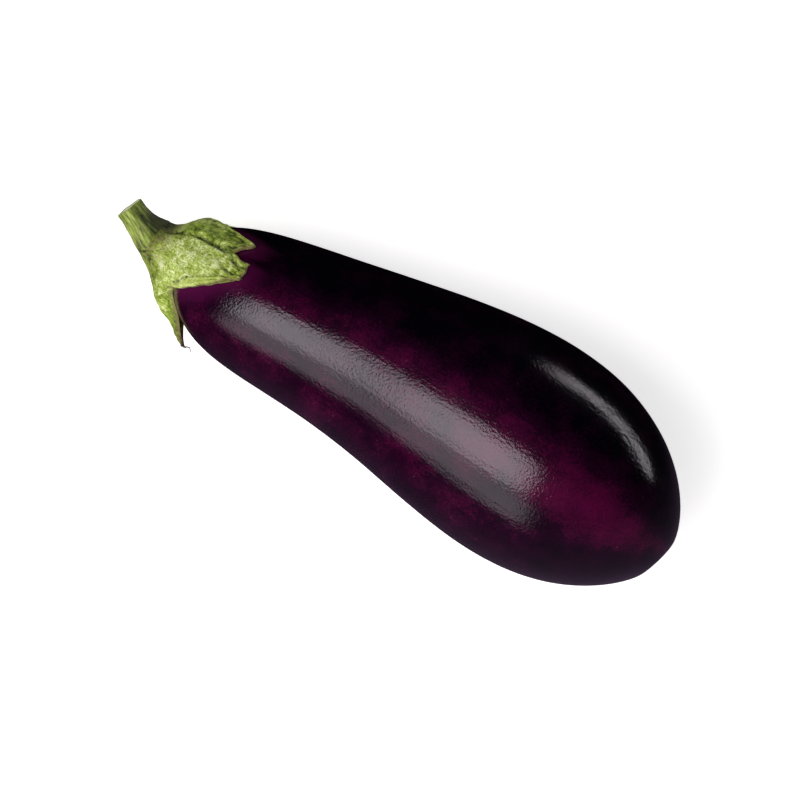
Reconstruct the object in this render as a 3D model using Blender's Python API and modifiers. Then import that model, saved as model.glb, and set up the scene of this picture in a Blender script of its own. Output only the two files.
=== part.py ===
"""An eggplant as picked, lying on its side: the fruit, its lobed calyx and its cut stem.

Metres, +Z up. The pieces are modelled along the fruit's own axis, with the stem pole at the origin
and the blossom end at +X. An empty then tilts them onto the belly, which rests flat on z = 0.
Angles around the fruit start at -Y and turn upwards, so 90 degrees is the top.
"""

import math

import bmesh
import bpy
import numpy as np
from mathutils import Matrix, Vector

# The fruit. Swell is the radius that the section would have if the fruit were an ellipsoid.
FRUIT_LENGTH = 0.2180
SWELL_ALONG = (
    (0.00, 0.0472),
    (0.06, 0.0435),
    (0.15, 0.0383),
    (0.26, 0.0352),
    (0.36, 0.0348),
    (0.47, 0.0374),
    (0.59, 0.0423),
    (0.73, 0.0474),
    (0.85, 0.0518),
    (0.93, 0.0508),
    (1.00, 0.0493),
)
SIDE_BEND_ALONG = (
    (0.00, 0.0000),
    (0.09, -0.0023),
    (0.22, 0.0018),
    (0.39, 0.0042),
    (0.59, 0.0071),
    (0.78, 0.0059),
    (1.00, 0.0032),
)
NECK_LIFT = 0.0060  # how far the neck bends up from the straight axis
TWO_LOBE_SWELL = 0.006  # the section's share of out-of-round
THREE_LOBE_SWELL = 0.004
BLOSSOM_PRESS_POINT = (0.2156, -0.0013, -0.0042)
BLOSSOM_PRESS_YAW = 12.7  # the blunt blossom end faces this far towards -Y, in degrees
BLOSSOM_PRESS_PITCH = 11.6  # and this far down
BLOSSOM_PRESS_SOFTNESS = 0.0004
DIMPLE_DEPTH = 0.0006
DIMPLE_RADIUS = 0.0050

# How the fruit lies.
TILT_DEGREES = 8.1  # the blossom end is raised until the belly is under the centre of mass
FLAT_DEPTH = 0.0009  # how much of the belly is pressed flat

# The calyx: five pointed lobes around a fleshy crown. Distances run along the skin from the pole.
GAP = 0.0003
NOTCHES = ((-50, 0.0195), (38, 0.0175), (108, 0.0350), (154, 0.0180), (246, 0.0195))
# For each lobe: the angle of its tip, the distance of its tip, the blunt tip's share of the lobe's
# width, its taper (below 1, it narrows fastest at its base), how far its tip stands off the fruit,
# and how far its shoulder does.
LOBES = (
    (-6, 0.0352, 0.10, 0.70, 0.0028, 0.0034),
    (98, 0.0460, 0.14, 0.70, 0.0004, 0.0003),
    (121, 0.0426, 0.16, 0.70, 0.0005, 0.0003),
    (226, 0.0385, 0.18, 0.45, 0.0004, 0.0002),
    (276, 0.0380, 0.20, 0.60, 0.0003, 0.0003),
)
TIP_ROUNDING = 0.0010
CROWN_THICKNESS = 0.0085
THICKNESS_ALONG = (
    (0.000, CROWN_THICKNESS),
    (0.0055, CROWN_THICKNESS),
    (0.0125, 0.0052),
    (0.0190, 0.0017),
    (0.0280, 0.0014),
)
BOSS_RADIUS = 0.0075
BOSS_SPREAD = 1.4  # the boss is this much wider at its foot
BOSS_BOTTOM = -0.0010
BOSS_TOP = -0.0098

# The stem: a ribbed stalk that leaves along the fruit's axis and bends upwards.
STEM_BASE_Y = -0.0015
STEM_RADIUS = 0.0052
STEM_RIDGES = 5
STEM_RIDGE_SHARE = 0.06
STEM_END = (-0.0263, 0.0025, 0.0134)
STEM_BASE_FLARE = 1.36
STEM_CUT_FLARE = 1.05

FRUIT_RINGS = 40
FRUIT_SEGMENTS = 52
LOBE_COLUMNS = 12
CUP_ROWS = 6
BLADE_ROWS = 8
STEM_SIDES = 30

SWELL = np.polyfit(*zip(*SWELL_ALONG), 6)
SIDE_BEND = np.polyfit(*zip(*SIDE_BEND_ALONG), 5)


def clear_scene():
    for obj in list(bpy.data.objects):
        bpy.data.objects.remove(obj)


def new_collection(name):
    collection = bpy.data.collections.new(name)
    bpy.context.scene.collection.children.link(collection)
    return collection


def new_object(name, mesh, collection, material=None):
    obj = bpy.data.objects.new(name, mesh)
    collection.objects.link(obj)
    if material:
        mesh.materials.append(material)
    return obj


def new_material(name, colour, roughness):
    material = bpy.data.materials.new(name)
    material.use_nodes = True
    shader = material.node_tree.nodes["Principled BSDF"]
    shader.inputs["Base Color"].default_value = (*colour, 1)
    shader.inputs["Roughness"].default_value = roughness
    shader.inputs["Metallic"].default_value = 0
    return material


def mesh_of(bm, name):
    mesh = bpy.data.meshes.new(name)
    bm.to_mesh(mesh)
    bm.free()
    mesh.shade_smooth()
    return mesh


def ease(value, start, end):
    """0 up to start, 1 from end on, and a smooth step between them."""
    share = min(max((value - start) / (end - start), 0), 1)
    return share * share * (3 - 2 * share)


# ---- fruit

def section_radius(along, around):
    ellipse = 2 * math.sqrt(max(along * (1 - along), 0))
    ripple = TWO_LOBE_SWELL * math.cos(2 * around - 0.7) + THREE_LOBE_SWELL * math.cos(3 * around + 0.4)
    return ellipse * np.polyval(SWELL, along) * (1 + ripple)


def pressed_at_blossom(point):
    """Flattens what stands past the blossom plane, and sinks a shallow dimple at its middle."""
    yaw = math.radians(BLOSSOM_PRESS_YAW)
    pitch = math.radians(BLOSSOM_PRESS_PITCH)
    normal = Vector((math.cos(yaw) * math.cos(pitch), -math.sin(yaw) * math.cos(pitch), -math.sin(pitch)))
    middle = Vector(BLOSSOM_PRESS_POINT)
    past = (point - middle).dot(normal)
    soft = BLOSSOM_PRESS_SOFTNESS
    kept = -soft * math.log1p(math.exp(-past / soft)) if past > -20 * soft else past
    pressed = point + normal * (kept - past)
    spread = (pressed - middle).length / DIMPLE_RADIUS
    return pressed - normal * DIMPLE_DEPTH * math.exp(-spread * spread)


def fruit_point(along, around):
    radius = section_radius(along, around)
    point = Vector(
        (
            FRUIT_LENGTH * along,
            np.polyval(SIDE_BEND, along) - radius * math.cos(around),
            NECK_LIFT * (1 - along) ** 2 + radius * math.sin(around),
        )
    )
    return pressed_at_blossom(point)


def build_fruit(collection, material):
    bm = bmesh.new()
    bmesh.ops.create_uvsphere(bm, u_segments=FRUIT_SEGMENTS, v_segments=FRUIT_RINGS, radius=1)
    for vert in bm.verts:
        along = min(max((1 - vert.co.z) / 2, 0), 1)
        around = math.atan2(vert.co.y, vert.co.x)
        vert.co = fruit_point(along, around)
    bmesh.ops.recalc_face_normals(bm, faces=bm.faces)
    return new_object("fruit", mesh_of(bm, "fruit"), collection, material)


def add_rest_flat(fruit, cutters):
    """Cuts the belly off at z = 0, where the fruit rests."""
    bm = bmesh.new()
    bmesh.ops.create_cube(bm, size=0.3)
    cutter = new_object("rest_cutter", mesh_of(bm, "rest_cutter"), cutters)
    cutter.location.z = -0.15
    cutter.hide_render = True
    cutter.display_type = "WIRE"
    cut = fruit.modifiers.new("rest flat", "BOOLEAN")
    cut.operation = "DIFFERENCE"
    cut.solver = "EXACT"
    cut.object = cutter


# ---- calyx

def skin_distances():
    """Shares of the fruit's length, and how far along the skin from the pole each one lies."""
    shares = np.linspace(0, 1, 800) ** 2 * 0.4
    radii = np.array([section_radius(share, 0) for share in shares])
    steps = np.hypot(np.diff(shares * FRUIT_LENGTH), np.diff(radii))
    return shares, np.concatenate(([0], np.cumsum(steps)))


def skin_at(distance, around, table):
    """The point of the fruit's skin at this distance from the pole, and the outward normal there."""
    shares, distances = table
    along = max(float(np.interp(distance, distances, shares)), 1e-5)
    point = fruit_point(along, around)
    forward = fruit_point(along * 1.02, around) - fruit_point(along * 0.98, around)
    sideways = fruit_point(along, around + 0.02) - fruit_point(along, around - 0.02)
    return point, forward.cross(sideways).normalized()


def calyx_place(column, row, table):
    """Where the calyx's inner face lies at this column and row, and how thick the calyx is there."""
    lobe = min(int(column // LOBE_COLUMNS), len(LOBES) - 1)
    across = (column - lobe * LOBE_COLUMNS) / LOBE_COLUMNS
    tip_angle, tip_distance, tip_share, taper, tip_lift, shoulder_lift = LOBES[lobe]
    start_angle, start_distance = NOTCHES[lobe]
    end_angle, end_distance = NOTCHES[(lobe + 1) % len(NOTCHES)]
    end_angle += 360 if end_angle < start_angle else 0
    angle = start_angle + (end_angle - start_angle) * across
    cup_edge = start_distance + (end_distance - start_distance) * across
    off_middle = 2 * across - 1
    if row <= CUP_ROWS:
        distance = cup_edge * row / CUP_ROWS
    else:
        blade = (row - CUP_ROWS) / BLADE_ROWS
        angle = tip_angle + (angle - tip_angle) * (1 - (1 - tip_share) * blade**taper)
        reach = tip_distance - TIP_ROUNDING * off_middle**2
        distance = cup_edge + (reach - cup_edge) * blade
    middle = 1 - off_middle * off_middle
    shoulder = ease(distance, 0.002, 0.011) * (1 - ease(distance, 0.017, 0.027))
    lift = shoulder_lift * middle * shoulder + tip_lift * middle * ease(distance, 0.010, 0.022)
    lift += tip_lift * (1 - middle) * ease(distance, 0.024, 0.036)
    point, normal = skin_at(distance, math.radians(angle), table)
    thickness = float(np.interp(distance, *zip(*THICKNESS_ALONG)))
    return point + normal * (GAP + lift), thickness


def is_split(edge, column_of, row_of):
    """Whether this edge of the flat grid runs down between two lobes."""
    columns = {column_of(vert) for vert in edge.verts}
    return (
        len(columns) == 1
        and columns.pop() % LOBE_COLUMNS == 0
        and min(row_of(vert) for vert in edge.verts) >= CUP_ROWS
    )


def calyx_sheet():
    """The lobed sheet that hugs the neck, from a flat grid of columns around and rows outwards."""
    columns = LOBE_COLUMNS * len(LOBES)
    rows = CUP_ROWS + BLADE_ROWS
    bm = bmesh.new()
    bmesh.ops.create_grid(bm, x_segments=columns, y_segments=rows, size=0.5)

    def column_of(vert):
        return round((vert.co.x + 0.5) * columns)

    def row_of(vert):
        return round((vert.co.y + 0.5) * rows)

    splits = [edge for edge in bm.edges if is_split(edge, column_of, row_of)]
    bmesh.ops.split_edges(bm, edges=splits)
    table = skin_distances()
    thicknesses = bm.verts.layers.float.new("thickness")
    places = {}
    for vert in bm.verts:
        # A vertex between two lobes belongs to the lobe that its faces are in.
        towards = vert.link_faces[0].calc_center_median().x + 0.5 - (vert.co.x + 0.5)
        column = column_of(vert) + math.copysign(1e-6, towards)
        places[vert] = calyx_place(min(max(column, 0), columns), row_of(vert), table)
    for vert, (place, thickness) in places.items():
        vert.co = place
        vert[thicknesses] = thickness / CROWN_THICKNESS
    bmesh.ops.remove_doubles(bm, verts=bm.verts, dist=1e-6)
    bmesh.ops.recalc_face_normals(bm, faces=bm.faces)
    pole_face = min(bm.faces, key=lambda face: face.calc_center_median().x)
    if pole_face.normal.x > 0:
        bmesh.ops.reverse_faces(bm, faces=bm.faces)
    shares = [vert[thicknesses] for vert in bm.verts]
    return mesh_of(bm, "calyx"), shares


def build_crown_boss(cutters):
    """The flat-topped boss that the stem stands on."""
    bm = bmesh.new()
    height = BOSS_BOTTOM - BOSS_TOP
    bmesh.ops.create_cone(
        bm, cap_ends=True, segments=32, radius1=BOSS_RADIUS * BOSS_SPREAD, radius2=BOSS_RADIUS, depth=height
    )
    middle = Vector(((BOSS_BOTTOM + BOSS_TOP) / 2, STEM_BASE_Y, NECK_LIFT))
    bmesh.ops.transform(bm, matrix=Matrix.Translation(middle) @ Matrix.Rotation(-math.pi / 2, 4, "Y"), verts=bm.verts)
    boss = new_object("crown_boss", mesh_of(bm, "crown_boss"), cutters)
    boss.hide_render = True
    boss.display_type = "WIRE"
    return boss


def build_calyx(collection, cutters, material):
    mesh, shares = calyx_sheet()
    calyx = new_object("calyx", mesh, collection, material)
    group = calyx.vertex_groups.new(name="thickness")
    for index, share in enumerate(shares):
        group.add([index], share, "REPLACE")
    shell = calyx.modifiers.new("flesh", "SOLIDIFY")
    shell.thickness = CROWN_THICKNESS
    shell.offset = 1
    shell.vertex_group = "thickness"
    boss = build_crown_boss(cutters)
    join = calyx.modifiers.new("crown", "BOOLEAN")
    join.operation = "UNION"
    join.solver = "MANIFOLD"
    join.object = boss
    return calyx, boss


# ---- stem

def ribbed_outline(collection):
    """The stem's section: a circle of unit radius with soft ridges."""
    curve = bpy.data.curves.new("stem_section", "CURVE")
    curve.dimensions = "2D"
    spline = curve.splines.new("POLY")
    spline.points.add(STEM_SIDES - 1)
    for index, point in enumerate(spline.points):
        angle = -2 * math.pi * index / STEM_SIDES
        radius = STEM_RADIUS * (1 + STEM_RIDGE_SHARE * math.cos(STEM_RIDGES * angle))
        point.co = (radius * math.cos(angle), radius * math.sin(angle), 0, 1)
    spline.use_cyclic_u = True
    outline = bpy.data.objects.new("stem_section", curve)
    collection.objects.link(outline)
    outline.hide_render = True
    return outline


def build_stem(collection, cutters, material):
    curve = bpy.data.curves.new("stem", "CURVE")
    curve.dimensions = "3D"
    curve.resolution_u = 8
    curve.bevel_mode = "OBJECT"
    curve.bevel_object = ribbed_outline(cutters)
    curve.use_fill_caps = True
    base = Vector((BOSS_TOP - GAP, STEM_BASE_Y, NECK_LIFT))
    end = Vector(STEM_END)
    spline = curve.splines.new("BEZIER")
    spline.bezier_points.add(1)
    first, last = spline.bezier_points
    reach = (end - base).length
    first.co = base
    first.handle_left = base + Vector((reach / 3, 0, 0))
    first.handle_right = base - Vector((reach / 3, 0, 0))
    last.co = end
    last.handle_left = end - (end - first.handle_right).normalized() * reach / 3
    last.handle_right = end + (end - first.handle_right).normalized() * reach / 3
    first.radius = STEM_BASE_FLARE
    last.radius = STEM_CUT_FLARE
    stem = bpy.data.objects.new("stem", curve)
    collection.objects.link(stem)
    curve.materials.append(material)
    return stem


# ---- resting pose

def evaluated_points(objects):
    bpy.context.view_layer.update()
    graph = bpy.context.evaluated_depsgraph_get()
    found = []
    for obj in objects:
        evaluated = obj.evaluated_get(graph)
        mesh = evaluated.to_mesh()
        found += [tuple(obj.matrix_world @ vert.co) for vert in mesh.vertices]
        evaluated.to_mesh_clear()
    return np.array(found)


def lay_down(pieces, helpers, collection):
    """Tilts the pieces onto the belly, over the middle of their own footprint."""
    pose = bpy.data.objects.new("resting_pose", None)
    collection.objects.link(pose)
    pose.rotation_euler.y = -math.radians(TILT_DEGREES)
    for obj in pieces + helpers:
        obj.parent = pose
    points = evaluated_points(pieces)
    low = points.min(axis=0)
    high = points.max(axis=0)
    pose.location.x = -(low[0] + high[0]) / 2
    pose.location.y = -(low[1] + high[1]) / 2
    pose.location.z = -low[2] - FLAT_DEPTH


def main():
    clear_scene()
    eggplant = new_collection("eggplant")
    cutters = new_collection("cutters")
    skin = new_material("glossy purple skin", (0.020, 0.004, 0.016), 0.18)
    leaf = new_material("velvety green calyx", (0.300, 0.370, 0.110), 0.65)
    stalk = new_material("ribbed green stalk", (0.240, 0.300, 0.080), 0.55)
    fruit = build_fruit(eggplant, skin)
    calyx, boss = build_calyx(eggplant, cutters, leaf)
    stem = build_stem(eggplant, cutters, stalk)
    lay_down([fruit, calyx, stem], [boss], eggplant)
    add_rest_flat(fruit, cutters)


main()
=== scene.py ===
# An eggplant as picked, lying on its side: glossy purple fruit, velvety green calyx, cut green stem.
# Everything is modelled along the fruit's own axis, stem end at the origin and blossom end at +x,
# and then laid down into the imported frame. Metres. Angles around the fruit start at -y and turn upwards.
import math
import bmesh
import bpy
import numpy as np
from mathutils import Matrix, Vector, noise


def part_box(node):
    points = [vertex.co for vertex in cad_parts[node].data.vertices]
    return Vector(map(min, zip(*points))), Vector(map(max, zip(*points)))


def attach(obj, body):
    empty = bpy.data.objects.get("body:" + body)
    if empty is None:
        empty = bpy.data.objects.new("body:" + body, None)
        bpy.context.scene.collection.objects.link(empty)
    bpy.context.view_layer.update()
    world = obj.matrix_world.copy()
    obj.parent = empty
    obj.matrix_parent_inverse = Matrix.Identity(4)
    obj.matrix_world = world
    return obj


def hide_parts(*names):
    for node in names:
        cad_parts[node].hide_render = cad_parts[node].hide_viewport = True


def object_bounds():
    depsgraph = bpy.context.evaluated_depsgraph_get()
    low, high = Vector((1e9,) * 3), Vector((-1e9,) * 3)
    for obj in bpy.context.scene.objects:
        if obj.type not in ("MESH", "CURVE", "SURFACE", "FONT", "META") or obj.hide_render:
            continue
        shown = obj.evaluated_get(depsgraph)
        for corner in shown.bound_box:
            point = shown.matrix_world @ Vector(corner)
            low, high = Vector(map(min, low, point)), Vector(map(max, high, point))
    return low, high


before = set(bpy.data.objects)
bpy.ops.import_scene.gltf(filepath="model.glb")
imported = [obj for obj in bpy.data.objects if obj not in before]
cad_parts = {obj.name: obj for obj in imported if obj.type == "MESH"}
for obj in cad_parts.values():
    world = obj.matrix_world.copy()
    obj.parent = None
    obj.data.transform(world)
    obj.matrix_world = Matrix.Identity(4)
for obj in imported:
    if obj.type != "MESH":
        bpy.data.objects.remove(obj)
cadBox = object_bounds()
print("frame loaded:", sorted(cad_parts))


# small helpers

def ease(value, start, end):
    share = np.clip((value - start) / (end - start), 0, 1)
    return share * share * (3 - 2 * share)


def bump(value, middle, width):  # a soft hill of height 1
    return np.exp(-(((value - middle) / width) ** 2))


def unit(vectors):
    return vectors / (np.linalg.norm(vectors, axis=-1, keepdims=True) + 1e-12)


def softNoise(points, size, seed=0, stretch=(1, 1, 1)):
    # smooth random field between about -1 and 1, its blobs `size` metres across
    shape = points.shape[:-1]
    scaled = points.reshape(-1, 3) / np.array(stretch) / size + seed * 7.31
    return np.array([noise.noise(place) for place in scaled.tolist()]).reshape(shape)


def gridFaces(rows, columns, closed, start=0):
    # quads of a grid of points stored row by row; closed joins the last column to the first
    down = np.arange(rows - 1)[:, None] * columns
    across = np.arange(columns if closed else columns - 1)[None, :]
    beside = (across + 1) % columns
    below = down + columns
    quads = np.stack([down + across, down + beside, below + beside, below + across], axis=-1)
    return quads.reshape(-1, 4) + start


def meshPiece(name, points, faces, masks, material, node=None):
    # points are in the fruit's own axes; masks are named numbers or vectors for each point
    mesh = bpy.data.meshes.new(name)
    laid = points @ np.array(layDown.to_3x3()).T + np.array(layDown.translation)
    laid[:, 2] = restOnFloor(laid[:, 2])
    mesh.from_pydata(laid.tolist(), [], [list(face) for face in faces])
    mesh.validate()
    grown = mesh.attributes.new("grown", "FLOAT_VECTOR", "POINT")
    grown.data.foreach_set("vector", points.astype(np.float32).ravel())
    for label, values in masks.items():
        layer = mesh.attributes.new(label, "FLOAT", "POINT")
        layer.data.foreach_set("value", np.asarray(values, np.float32).ravel())
    mesh.shade_smooth()
    mesh.materials.append(material)
    piece = bpy.data.objects.new(name, mesh)
    bpy.context.scene.collection.objects.link(piece)
    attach(piece, "root")
    if node:
        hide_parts(node)
    print(name, "made:", len(points), "points")
    return piece


def linear(hexColour):
    parts = [int(hexColour[i:i + 2], 16) / 255 for i in (1, 3, 5)]
    return tuple(part / 12.92 if part <= 0.04045 else ((part + 0.055) / 1.055) ** 2.4 for part in parts)


def addNode(tree, kind, sockets=None, stops=None, **settings):
    # sockets: input name or number -> a value, a hex colour, a node's output, or a node for its first output.
    # inputs 1 to 4 of a MapRange are its from and to ranges; 0, 6 and 7 of a colour Mix are factor, A and B
    made = tree.nodes.new("ShaderNode" + kind)
    for key, value in settings.items():
        setattr(made, key, value)
    for key, value in (sockets or {}).items():
        socket = made.inputs[key]
        if isinstance(value, bpy.types.Node):
            value = value.outputs[0]
        if isinstance(value, bpy.types.NodeSocket):
            tree.links.new(value, socket)
        elif isinstance(value, str):
            socket.default_value = (*linear(value), 1)
        else:
            socket.default_value = value
    if stops:
        ramp = made.color_ramp
        while len(ramp.elements) < len(stops):
            ramp.elements.new(0.5)
        for element, (place, colour) in zip(ramp.elements, stops):
            element.position = place
            element.color = (*linear(colour), 1) if isinstance(colour, str) else (colour, colour, colour, 1)
    return made


def newMaterial(name):
    material = bpy.data.materials.new(name)
    material.use_nodes = True
    return material, material.node_tree, material.node_tree.nodes["Principled BSDF"]


# the fruit's shape, used by the fruit itself and by the calyx that hugs it

fruitShape = {
    "length": 0.2180,
    "swell": [(0, .0472), (.06, .0435), (.15, .0383), (.26, .0352), (.36, .0348), (.47, .0374),
              (.59, .0423), (.73, .0474), (.85, .0518), (.93, .0508), (1, .0493)],
    "sideBend": [(0, 0), (.09, -.0023), (.22, .0018), (.39, .0042), (.59, .0071), (.78, .0059), (1, .0032)],
    "neckLift": .0060,
    "tiltDegrees": 8.1,       # how the belly lies on the floor
    "pressPoint": (.2156, -.0013, -.0042),
    "pressYaw": 12.7,
    "pressPitch": 11.6,
    "pressSoftness": .0004,
    "dimpleDepth": .0006,
    "dimpleRadius": .0050,
    "rings": 220,
    "segments": 300,
    "dent": .00022,           # height of the slow unevenness of the skin
    "scarRadius": .0042,      # where the flower fell off
    "scarDepth": .00045,
    "scarRim": .00025,
    "scarRoughness": .00012,
}
swell = np.polyfit(*zip(*fruitShape["swell"]), 6)
sideBend = np.polyfit(*zip(*fruitShape["sideBend"]), 5)
pressMiddle = np.array(fruitShape["pressPoint"])
pressYaw = math.radians(fruitShape["pressYaw"])
pressPitch = math.radians(fruitShape["pressPitch"])
pressNormal = np.array((math.cos(pressYaw) * math.cos(pressPitch),
                        -math.sin(pressYaw) * math.cos(pressPitch), -math.sin(pressPitch)))


def sectionRadius(along, around):
    ellipse = 2 * np.sqrt(np.clip(along * (1 - along), 0, None))
    ripple = .006 * np.cos(2 * around - .7) + .004 * np.cos(3 * around + .4)
    return ellipse * np.polyval(swell, along) * (1 + ripple)


def fruitPoint(along, around):
    radius = sectionRadius(along, around)
    x = fruitShape["length"] * along + 0 * around
    y = np.polyval(sideBend, along) - radius * np.cos(around)
    z = fruitShape["neckLift"] * (1 - along) ** 2 + radius * np.sin(around)
    points = np.stack([x, y, z], axis=-1)
    past = (points - pressMiddle) @ pressNormal
    soft = fruitShape["pressSoftness"]
    kept = -soft * np.logaddexp(0, -past / soft)
    points = points + pressNormal * (kept - past)[..., None]
    spread = np.linalg.norm(points - pressMiddle, axis=-1) / fruitShape["dimpleRadius"]
    return points - pressNormal * (fruitShape["dimpleDepth"] * np.exp(-spread ** 2))[..., None]


def fruitNormal(along, around):
    forward = fruitPoint(along * 1.02, around) - fruitPoint(along * .98, around)
    sideways = fruitPoint(along, around + .02) - fruitPoint(along, around - .02)
    return unit(np.cross(forward, sideways))


def placeInFrame():
    # tilts the model as the CAD fruit lies, then lines its box up with the CAD fruit's box
    tilt = Matrix.Rotation(-math.radians(fruitShape["tiltDegrees"]), 4, "Y")
    alongSteps = (1 - np.cos(np.linspace(0, math.pi, 160))) / 2
    along, around = np.meshgrid(alongSteps, np.linspace(0, 2 * math.pi, 160))
    points = fruitPoint(along, around).reshape(-1, 3) @ np.array(tilt.to_3x3()).T
    low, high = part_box("fruit")
    middle = (points.min(axis=0) + points.max(axis=0)) / 2
    shift = Vector(((low.x + high.x) / 2 - middle[0], (low.y + high.y) / 2 - middle[1],
                    high.z - points[:, 2].max()))
    return Matrix.Translation(shift) @ tilt


def restOnFloor(heights, soft=.00015):
    # the belly flattens softly where it meets the floor
    return soft * np.logaddexp(0, heights / soft)


layDown = placeInFrame()


# skin of the fruit

skinLook = {
    "nearBlack": "#020106",
    "purple": "#1c0216",
    "magenta": "#4c062f",
    "underLeaf": "#4c0c38",
    "speck": "#a05a78",
    "scar": "#7a6450",
    "scarDark": "#2c1c16",
    "roughness": .145,
}


def skinMaterial():
    # eggplant skin: a smooth waxy cuticle over dark purple cells, lighter where the sun did not reach.
    # gives sharp but slightly grainy reflections, and a magenta band along the fruit that is partly the
    # skin's own colour and partly painted light
    material, tree, shader = newMaterial("waxy purple eggplant skin")
    grown = addNode(tree, "Attribute", attribute_name="grown").outputs["Vector"]
    # flush: magenta skin, partly its own colour and partly painted light on the sides facing the lamps
    flushAndPaintedLight, leafShade, scar = (addNode(tree, "Attribute", attribute_name=label).outputs["Fac"]
                              for label in ("flushAndPaintedLight", "leafShade", "scar"))

    # colour drifts over about 12 mm
    drift = addNode(tree, "TexNoise", {"Vector": grown, "Scale": 80, "Detail": 4, "Roughness": .6})
    # fine streaks along the fruit, 0.6 mm wide and about 12 mm long
    longways = addNode(tree, "Mapping", {"Vector": grown, "Scale": (80, 1500, 1500)})
    streaks = addNode(tree, "TexNoise", {"Vector": longways, "Scale": 1, "Detail": 3})
    wobble = addNode(tree, "Math", {0: drift, 1: .5}, operation="SUBTRACT")
    wobble = addNode(tree, "Math", {0: wobble, 1: 1.1, 2: flushAndPaintedLight}, operation="MULTIPLY_ADD")
    streaked = addNode(tree, "Math", {0: streaks, 1: .5}, operation="SUBTRACT")
    streaked = addNode(tree, "Math", {0: streaked, 1: .26, 2: wobble}, operation="MULTIPLY_ADD")
    # clusters of purple cells, 0.9 mm across
    cells = addNode(tree, "TexNoise", {"Vector": grown, "Scale": 1100, "Detail": 3, "Roughness": .7})
    cells = addNode(tree, "Math", {0: cells, 1: .5}, operation="SUBTRACT")
    streaked = addNode(tree, "Math", {0: cells, 1: .85, 2: streaked}, operation="MULTIPLY_ADD")
    base = addNode(tree, "ValToRGB", {"Fac": streaked},
                   stops=[(0, skinLook["nearBlack"]), (.45, skinLook["purple"]), (1, skinLook["magenta"])])
    # under the leaves' edges the skin saw no sun
    pale = addNode(tree, "Mix", {0: leafShade, 6: base, 7: skinLook["underLeaf"]},
                   data_type="RGBA").outputs[2]
    # pale pores, 0.4 mm dots about 3 mm apart, in some places only
    pores = addNode(tree, "TexVoronoi", {"Vector": grown, "Scale": 300})
    poreDots = addNode(tree, "MapRange", {0: pores, 1: .045, 2: .085, 3: 1, 4: 0})
    poreSome = addNode(tree, "MapRange", {0: drift, 1: .47, 2: .64, 3: 0, 4: .75})
    poreShare = addNode(tree, "Math", {0: poreDots, 1: poreSome}, operation="MULTIPLY")
    poreFlush = addNode(tree, "Math", {0: poreShare, 1: flushAndPaintedLight}, operation="MULTIPLY")
    dotted = addNode(tree, "Mix", {0: poreFlush, 6: pale, 7: skinLook["speck"]},
                     data_type="RGBA").outputs[2]
    # corky scar at the blossom end, cracked every millimetre or so
    cracks = addNode(tree, "TexVoronoi", {"Vector": grown, "Scale": 900}, feature="DISTANCE_TO_EDGE")
    crackShare = addNode(tree, "MapRange", {0: cracks, 1: 0, 2: .25, 3: 1, 4: 0})
    cork = addNode(tree, "Mix", {0: crackShare, 6: skinLook["scar"], 7: skinLook["scarDark"]},
                   data_type="RGBA").outputs[2]
    colour = addNode(tree, "Mix", {0: scar, 6: dotted, 7: cork}, data_type="RGBA").outputs[2]
    tree.links.new(colour, shader.inputs["Base Color"])

    # handling has dulled the wax a little, in patches of 20 mm
    patches = addNode(tree, "TexNoise", {"Vector": grown, "Scale": 45, "Detail": 5, "Roughness": .65})
    dull = addNode(tree, "MapRange", {0: patches, 1: .3, 2: .75,
                                      3: skinLook["roughness"] - .04, 4: skinLook["roughness"] + .06})
    rough = addNode(tree, "MapRange", {0: scar, 1: 0, 2: 1, 3: dull, 4: .75})
    tree.links.new(rough.outputs[0], shader.inputs["Roughness"])
    shader.inputs["IOR"].default_value = 1.45  # plant wax
    shader.inputs["Specular IOR Level"].default_value = .5

    # cells and wax make an orange peel of about 0.9 mm, over ripples 3 mm wide that run along the fruit
    peel = addNode(tree, "TexNoise", {"Vector": grown, "Scale": 1100, "Detail": 2, "Roughness": .5})
    ripples = addNode(tree, "TexNoise", {"Vector": longways, "Scale": .22, "Detail": 2})
    peelBump = addNode(tree, "Bump", {"Height": peel, "Strength": .6, "Distance": .00016})
    rippleBump = addNode(tree, "Bump", {"Height": ripples, "Strength": .45,
                                        "Distance": .00022, "Normal": peelBump})
    corkBump = addNode(tree, "Math", {0: crackShare, 1: scar}, operation="MULTIPLY")
    corkBump = addNode(tree, "Bump", {"Height": corkBump, "Strength": .6, "Distance": -.0002,
                                      "Normal": rippleBump})
    tree.links.new(corkBump.outputs[0], shader.inputs["Normal"])
    return material


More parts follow.
